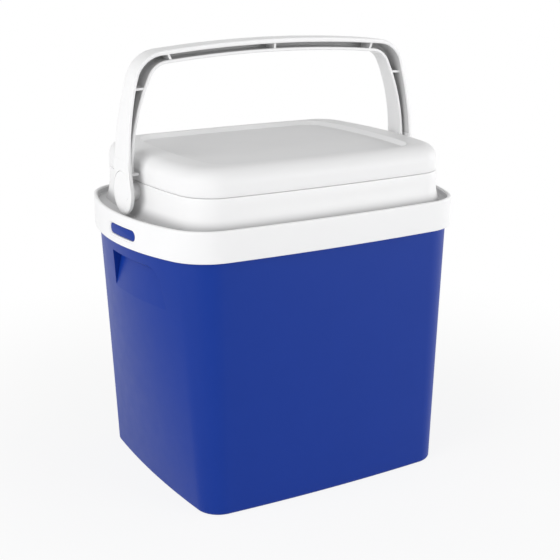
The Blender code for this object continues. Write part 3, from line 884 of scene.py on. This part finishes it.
def liner_ring(height, inset):
    """The tapered liner at a height, drawn in by an inset."""
    share = (height - liner_low.z) / (liner_under - liner_low.z)
    low = base_ring(SHELL_WALL + INSULATION + inset)
    high = lid_ring(LINER_INSET + inset)
    return at_height([a.lerp(b, share) for a, b in zip(low, high)], height)


def liner_foot(inset):
    """Rings of the round between the liner's floor and wall, from the floor up."""
    radius = LINER_ROUND - inset
    turns = [math.pi / 2 * step / ROUND_PARTS for step in range(ROUND_PARTS + 1)]
    return [liner_ring(liner_low.z + inset + radius * (1 - math.cos(t)), inset + radius * (1 - math.sin(t)))
            for t in turns]


rings = [liner_ring(liner_low.z, LINER_PANEL)] + liner_foot(0.0)
rings += [liner_ring(height, 0.0) for height in liner_heights]
flange = NECK_WALL + CLEARANCE
rings += [at_height(lid_ring(flange), z) for z in (liner_under, liner_high.z)]
rings.append(liner_ring(liner_high.z, LINER_WALL - 0.0016))
rings.append(liner_ring(liner_high.z - 0.0005, LINER_WALL - 0.0004))
rings.append(liner_ring(liner_high.z - 0.0016, LINER_WALL))
rings += [liner_ring(height, LINER_WALL) for height in liner_heights[-2::-1]]
rings += liner_foot(LINER_WALL)[::-1]
rings.append(liner_ring(liner_low.z + LINER_WALL, LINER_PANEL))
liner = skin_object("chest_liner", rings, liner_white)
smooth(liner)
dress(liner, "chest", "liner_white", "inner_liner")

# %% [markdown]
# ## Bail handle
# The handle is a channel, open to the front, that follows one line from pivot to
# pivot. Sweeping a section along a path is what Curve to Mesh in Geometry Nodes is
# for. Here the section changes on the way: towards the pivots the arms get thinner
# and flare in depth, and the crossbar has a thicker top wall. So the path and the
# section are edge meshes that carry values, and the tree moves each swept point by
# those values. The core of the channel is painted a darker grey than the outside:
# painted shade for the inside of the deep, narrow channel.

# %% Two lines of the bail
ARM_THICK = 0.0105
ARM_START = 0.019
ARM_STRAIGHT = 0.022
ARM_BOW, ARM_INNER_BOW = 0.380, 0.228
FLARE_TOP, FLARE_SLOPE = 0.115, 0.06
HANDLE_CORNER = 0.038
CROWN_BOW = 1.420
BAR_THICK = 0.015
HANDLE_WALL, BAR_WALL = 0.0036, 0.0055
ARM_RIB_LOW = 0.0205
HANDLE_OUTER = HANDLE_INNER + ARM_THICK
HANDLE_RISE = bow_high.z - PIVOT


def flare(height):
    """How far each edge of an arm stands out beyond the crossbar, at a height above the pivot."""
    return max(FLARE_TOP - height, 0.0) * FLARE_SLOPE


def bail_line(reach, rise, corner, arm_bow, crown_bow):
    """Points from the right pivot over the crossbar to the left pivot."""
    right = [Vector((reach, height - ARM_STRAIGHT)) for height in (ARM_START, ARM_RIB_LOW)]
    right += quarter(reach, rise, corner, arm_bow, crown_bow)
    full = right + [Vector((-p.x, p.y)) for p in right[-2::-1]]
    return [Vector((p.x, p.y + PIVOT + ARM_STRAIGHT)) for p in full]


crown = HANDLE_RISE - ARM_STRAIGHT
outer_line = bail_line(HANDLE_OUTER, crown, HANDLE_CORNER, ARM_BOW, CROWN_BOW)
inner_line = bail_line(HANDLE_INNER, crown - BAR_THICK, HANDLE_CORNER - BAR_THICK,
                       ARM_INNER_BOW, CROWN_BOW - BAR_THICK)
inward = [inner - outer for outer, inner in zip(outer_line, inner_line)]
thicker = [step.normalized() * (BAR_WALL - HANDLE_WALL) * step.normalized().y ** 2 for step in inward]
print("bail lines of", len(outer_line), "points")

# %% Edge meshes for the path and the section
INNER_SETBACK = 0.004
HANDLE_DEPTH = 0.028
SOFT_EDGE, REAR_EDGE, GRIP_EDGE = 0.0012, 0.0014, 0.0040
front, rear = -HANDLE_DEPTH / 2, HANDLE_DEPTH / 2
inner_front = front + INNER_SETBACK
web = rear - HANDLE_WALL


def edge_mesh(name, points, closed, values):
    """A line of edges in the XY plane, with named values on its points."""
    mesh = bpy.data.meshes.new(name)
    edges = [(here, here + 1) for here in range(len(points) - 1)]
    if closed:
        edges.append((len(points) - 1, 0))
    mesh.from_pydata([(p.x, p.y, 0.0) for p in points], edges, [])
    for title, numbers in values.items():
        for item, number in zip(mesh.attributes.new(title, "FLOAT_VECTOR", "POINT").data, numbers):
            item.vector = number
    return add_object(name, mesh)


wall = HANDLE_WALL
thick = ARM_THICK
corners = [(0.0, front, SOFT_EDGE), (0.0, rear, REAR_EDGE), (thick, rear, GRIP_EDGE),
           (thick, inner_front, SOFT_EDGE), (thick - wall, inner_front, SOFT_EDGE),
           (thick - wall, web, REAR_EDGE), (wall, web, REAR_EDGE), (wall, front, SOFT_EDGE)]
ROUND = 5
section = rounded(corners, ROUND)
corner_of = [here // (ROUND + 1) for here in range(len(section))]
on_inner = [1.0 if 2 <= corner <= 5 else 0.0 for corner in corner_of]
on_top_wall = [1.0 if corner >= 6 else 0.0 for corner in corner_of]
on_edge = [(1.0, -1.0, -1.0, 0.0, 0.0, -1.0, -1.0, 1.0)[corner] for corner in corner_of]
# Points of the channel's core: the faces between them get the painted shade.
in_shaded_core = [1.0 if 5 * ROUND + 4 <= here <= 7 * (ROUND + 1) else 0.0 for here in range(len(section))]
section = [Vector((thick * share - p.x, p.y)) for p, share in zip(section, on_inner)]
bow_line = edge_mesh("bow_line", outer_line, False, {
    "inward": [(v.x, v.y, 0.0) for v in inward], "thicker": [(v.x, v.y, 0.0) for v in thicker],
    "flare": [(0.0, 0.0, flare(p.y - PIVOT)) for p in outer_line]})
channel_section = edge_mesh("channel_section", section, True, {
    "shares": list(zip(on_inner, on_top_wall, on_edge)), "core": [(share, 0.0, 0.0) for share in in_shaded_core]})
print("section of", len(section), "points")

# %% Geometry Nodes: helpers for the trees
def node_tree(name, inputs):
    """An empty tree with a geometry in and out, and named inputs."""
    group = bpy.data.node_groups.new(name, "GeometryNodeTree")
    group.interface.new_socket("Geometry", in_out="OUTPUT", socket_type="NodeSocketGeometry")
    group.interface.new_socket("Geometry", in_out="INPUT", socket_type="NodeSocketGeometry")
    for title, kind in inputs:
        group.interface.new_socket(title, in_out="INPUT", socket_type=kind)
    return group, group.nodes.new("NodeGroupInput"), group.nodes.new("NodeGroupOutput")


def stored(group, title):
    """Read a vector that an edge mesh or a point carries."""
    node = group.nodes.new("GeometryNodeInputNamedAttribute")
    node.data_type = "FLOAT_VECTOR"
    node.inputs["Name"].default_value = title
    return node.outputs[0]


def finish_tree(group, result, entry, leave, core=None):
    """End a tree in Realize Instances and Set Material, with a second material on the core faces (here the
    painted shade of the channel's core).
    """
    real = group.nodes.new("GeometryNodeRealizeInstances")
    link(group, result, real.inputs[0])
    result = real.outputs[0]
    for title, chosen in (("Material", None), ("Core Material", core)):
        if title == "Material" or chosen:
            paint = group.nodes.new("GeometryNodeSetMaterial")
            link(group, result, paint.inputs["Geometry"])
            link(group, entry.outputs[title], paint.inputs["Material"])
            if chosen:
                link(group, chosen, paint.inputs["Selection"])
            result = paint.outputs[0]
    link(group, result, leave.inputs["Geometry"])


def run_tree(thing, group, values):
    """Run a tree on an object and return the result as a new mesh object."""
    step = thing.modifiers.new(group.name, "NODES")
    step.node_group = group
    for item in group.interface.items_tree:
        if item.in_out == "INPUT" and item.name in values:
            step[item.identifier] = values[item.name]
    done = evaluated_mesh(thing)
    name = thing.name + "_mesh"
    bpy.data.objects.remove(thing, do_unlink=True)
    return add_object(name, done)


print("tree helpers ready")

# %% Geometry Nodes: sweep the channel
def as_curve(group, geometry):
    """Turn an edge mesh into a curve whose sections stand upright."""
    curve = group.nodes.new("GeometryNodeMeshToCurve")
    link(group, geometry, curve.inputs["Mesh"])
    normal = group.nodes.new("GeometryNodeSetCurveNormal")
    normal.mode = "Z_UP"
    link(group, curve.outputs["Curve"], normal.inputs["Curve"])
    return normal.outputs["Curve"]


def scaled(group, vector, amount):
    node = group.nodes.new("ShaderNodeVectorMath")
    node.operation = "SCALE"
    link(group, vector, node.inputs[0])
    link(group, amount, node.inputs["Scale"])
    return node.outputs[0]


sweep, entry, leave = node_tree("sweep_channel", [("Section", "NodeSocketObject"),
                                                  ("Material", "NodeSocketMaterial"),
                                                  ("Core Material", "NodeSocketMaterial")])
section_info = sweep.nodes.new("GeometryNodeObjectInfo")
link(sweep, entry.outputs["Section"], section_info.inputs["Object"])
section_curve = sweep.nodes.new("GeometryNodeMeshToCurve")
link(sweep, section_info.outputs["Geometry"], section_curve.inputs["Mesh"])
run = sweep.nodes.new("GeometryNodeCurveToMesh")
run.inputs["Fill Caps"].default_value = True
link(sweep, as_curve(sweep, entry.outputs["Geometry"]), run.inputs["Curve"])
link(sweep, section_curve.outputs["Curve"], run.inputs["Profile Curve"])
split = sweep.nodes.new("ShaderNodeSeparateXYZ")
link(sweep, stored(sweep, "shares"), split.inputs[0])
moved = run
for title, share in (("inward", "X"), ("thicker", "Y"), ("flare", "Z")):
    step = sweep.nodes.new("GeometryNodeSetPosition")
    link(sweep, moved.outputs[0], step.inputs["Geometry"])
    link(sweep, scaled(sweep, stored(sweep, title), split.outputs[share]), step.inputs["Offset"])
    moved = step
upright = sweep.nodes.new("GeometryNodeTransform")
upright.inputs["Rotation"].default_value = (math.pi / 2, 0.0, 0.0)
link(sweep, moved.outputs[0], upright.inputs["Geometry"])
core = sweep.nodes.new("FunctionNodeCompare")
core.inputs["B"].default_value = 0.99
split = sweep.nodes.new("ShaderNodeSeparateXYZ")
link(sweep, stored(sweep, "core"), split.inputs[0])
link(sweep, split.outputs["X"], core.inputs["A"])
finish_tree(sweep, upright.outputs[0], entry, leave, core.outputs["Result"])
bow = run_tree(bow_line, sweep, {"Section": channel_section, "Material": handle_white,
                                 "Core Material": handle_core_shade})
bpy.data.objects.remove(channel_section, do_unlink=True)
bow.name = "bail_handle"
spread_low = [min(v.co[axis] for v in bow.data.vertices) for axis in range(3)]
spread_high = [max(v.co[axis] for v in bow.data.vertices) for axis in range(3)]
print("handle sweep", [round(v, 4) for v in spread_low], [round(v, 4) for v in spread_high])

# %% [markdown]
# Cross ribs stiffen the channel: three in the crossbar and two in each arm. They
# are one small plate, placed on points along the path, so a tree instances it,
# turns each copy square to the line and stretches it from wall to wall.

# %% Places of the ribs
RIB_THICK = 0.0025
RIB_SETBACK = 0.0055
BAR_RIB_OFFSET = 0.1345
ARM_RIB_HIGH = 0.1107
LOW_RIB_REACH = 0.004
RIB_BITE = 0.0012
rib_depth = web + HANDLE_WALL / 2 - (front + RIB_SETBACK)


def rib_spot(measure, reach=-HANDLE_WALL + RIB_BITE):
    """Middle, turn and size of a rib where a measure changes its sign along the right half."""
    for here in range(len(outer_line) // 2 + 1):
        first, second = measure(outer_line[here]), measure(outer_line[here + 1])
        if first * second <= 0.0 and first != second:
            share = first / (first - second)
            outer = outer_line[here].lerp(outer_line[here + 1], share)
            step = inward[here].lerp(inward[here + 1], share)
            across = step.normalized()
            near = HANDLE_WALL + (BAR_WALL - HANDLE_WALL) * across.y ** 2 - RIB_BITE
            far = step.length + reach
            size = (1.0, 1.0 + 2 * flare(outer.y - PIVOT) / rib_depth, far - near)
            return outer + across * (near + far) / 2, math.atan2(across.x, across.y), size
    raise ValueError("no place for a rib")


spots = [rib_spot(lambda p: p.x)]
for spot in (rib_spot(lambda p: p.x - BAR_RIB_OFFSET), rib_spot(lambda p: p.y - PIVOT - ARM_RIB_HIGH),
             rib_spot(lambda p: p.y - PIVOT - ARM_RIB_LOW, LOW_RIB_REACH)):
    middle, turn, size = spot
    spots += [spot, (Vector((-middle.x, middle.y)), -turn, size)]
rib_points = bpy.data.meshes.new("rib_points")
rib_points.from_pydata([(middle.x, 0.0, middle.y) for middle, turn, size in spots], [], [])
turns = rib_points.attributes.new("turn", "FLOAT_VECTOR", "POINT")
sizes = rib_points.attributes.new("size", "FLOAT_VECTOR", "POINT")
for here, (middle, turn, size) in enumerate(spots):
    turns.data[here].vector = (0.0, turn, 0.0)
    sizes.data[here].vector = size
rib_holder = add_object("rib_points", rib_points)
print("ribs:", len(spots))

# %% Geometry Nodes: cross ribs
ribs_tree, entry, leave = node_tree("cross_ribs", [("Plate", "NodeSocketVector"),
                                                   ("Shift", "NodeSocketVector"),
                                                   ("Material", "NodeSocketMaterial")])
plate = ribs_tree.nodes.new("GeometryNodeMeshCube")
link(ribs_tree, entry.outputs["Plate"], plate.inputs["Size"])
moved = ribs_tree.nodes.new("GeometryNodeTransform")
link(ribs_tree, plate.outputs["Mesh"], moved.inputs["Geometry"])
link(ribs_tree, entry.outputs["Shift"], moved.inputs["Translation"])
copies = ribs_tree.nodes.new("GeometryNodeInstanceOnPoints")
link(ribs_tree, entry.outputs["Geometry"], copies.inputs["Points"])
link(ribs_tree, moved.outputs[0], copies.inputs["Instance"])
link(ribs_tree, stored(ribs_tree, "turn"), copies.inputs["Rotation"])
link(ribs_tree, stored(ribs_tree, "size"), copies.inputs["Scale"])
finish_tree(ribs_tree, copies.outputs[0], entry, leave)
ribs = run_tree(rib_holder, ribs_tree, {
    "Plate": (RIB_THICK, rib_depth, 1.0),
    "Shift": (0.0, front + RIB_SETBACK + rib_depth / 2, 0.0), "Material": handle_white})
combine(bow, ribs, "UNION")
print("handle with ribs,", len(bow.data.polygons), "faces")

# %% [markdown]
# Each arm ends in a flat tongue that widens to a round plate. A shallow seat in the
# plate takes the pivot cap, and a short collar behind it runs against the neck.

# %% Hubs of the handle
CAP_RADIUS = (cap_high.z - cap_low.z) / 2
HUB_MARGIN, HUB_SETBACK, PLATE_THICK = 0.0013, 0.0017, 0.0025
HUB_RADIUS = CAP_RADIUS + HUB_MARGIN
HUB_COLLAR = 0.0118
HUB_EDGE = 0.0005
HUB_OUTER = HANDLE_OUTER - HUB_SETBACK
HUB_PLATE = HUB_OUTER - PLATE_THICK
TONGUE_LOW, TONGUE_TOP, TONGUE_INSET = 0.0045, 0.036, 0.0008
TOOL_REACH = 0.010


def tongue(side):
    """The flat end of an arm, which widens from the channel to the round plate."""
    low = math.sqrt(HUB_RADIUS ** 2 - TONGUE_LOW ** 2) - CLEARANCE
    high = rear + flare(TONGUE_TOP) - TONGUE_INSET
    outline = ((-low, TONGUE_LOW), (low, TONGUE_LOW), (high, TONGUE_TOP), (-high, TONGUE_TOP))
    return skin_object("tongue", [[Vector((side * x, y, PIVOT + z)) for y, z in outline]
                                  for x in (HUB_PLATE + CLEARANCE, HANDLE_OUTER - 0.0001)])


hub = ((HUB_INNER, HUB_COLLAR - HUB_EDGE), (HUB_INNER + HUB_EDGE, HUB_COLLAR), (HUB_PLATE, HUB_COLLAR),
       (HUB_PLATE, HUB_RADIUS - HUB_EDGE), (HUB_PLATE + HUB_EDGE, HUB_RADIUS),
       (HANDLE_OUTER - HUB_EDGE, HUB_RADIUS), (HANDLE_OUTER - 0.00005, HUB_RADIUS - HUB_EDGE))
seat_radius = CAP_RADIUS + CLEARANCE
seat = ((HUB_OUTER + 0.0001, seat_radius), (HANDLE_OUTER + TOOL_REACH, seat_radius))
bore = ((HUB_INNER - TOOL_REACH, BORE_RADIUS), (HUB_OUTER + TOOL_REACH, BORE_RADIUS))
for side in (1, -1):
    combine(bow, tongue(side), "UNION")
    combine(bow, turned_on_x("hub", hub, side), "UNION")
    combine(bow, turned_on_x("seat", seat, side), "DIFFERENCE")
    combine(bow, turned_on_x("bore", bore, side), "DIFFERENCE")
smooth(bow, 35.0)
dress(bow, "handle", "handle_white", "handle_bow")

# %% [markdown]
# ## Pivot caps
# A round cap on each end holds the arm. It is a turned form: a faintly crowned
# face, a soft edge, and a shank that snaps into the neck.

# %% Pivot caps
SHANK_RADIUS = 0.0065
BARB_RADIUS = 0.008
CAP_EDGE = 0.0007
CAP_CROWN = 0.0003
cap_face = cap_high.x
cap_under = HUB_OUTER + CLEARANCE
barb = LID_LENGTH / 2 - NECK_WALL - CLEARANCE
face_radius = CAP_RADIUS - CAP_EDGE
profile = [(cap_face - CAP_CROWN * (r / CAP_RADIUS) ** 2, r) for r in (0.0005, 0.005, 0.010, 0.015, 0.018)]
edge_top = cap_face - CAP_CROWN * (face_radius / CAP_RADIUS) ** 2
profile += [(edge_top - CAP_EDGE * (1 - math.cos(t)), face_radius + CAP_EDGE * math.sin(t))
            for t in (math.radians(a) for a in (0, 15, 30, 45, 60, 75, 90))]
profile += [(cap_under, CAP_RADIUS), (cap_under, SHANK_RADIUS), (barb, SHANK_RADIUS), (barb, BARB_RADIUS),
            (barb - 0.001, BARB_RADIUS), (barb - 0.0035, SHANK_RADIUS * 0.8)]
for side, word in ((1, "right"), (-1, "left")):
    cap = turned_on_x("pivot_cap_" + word, profile, side, button_white)
    smooth(cap)
    dress(cap, "chest", "button_white", "pivot_button_" + word)
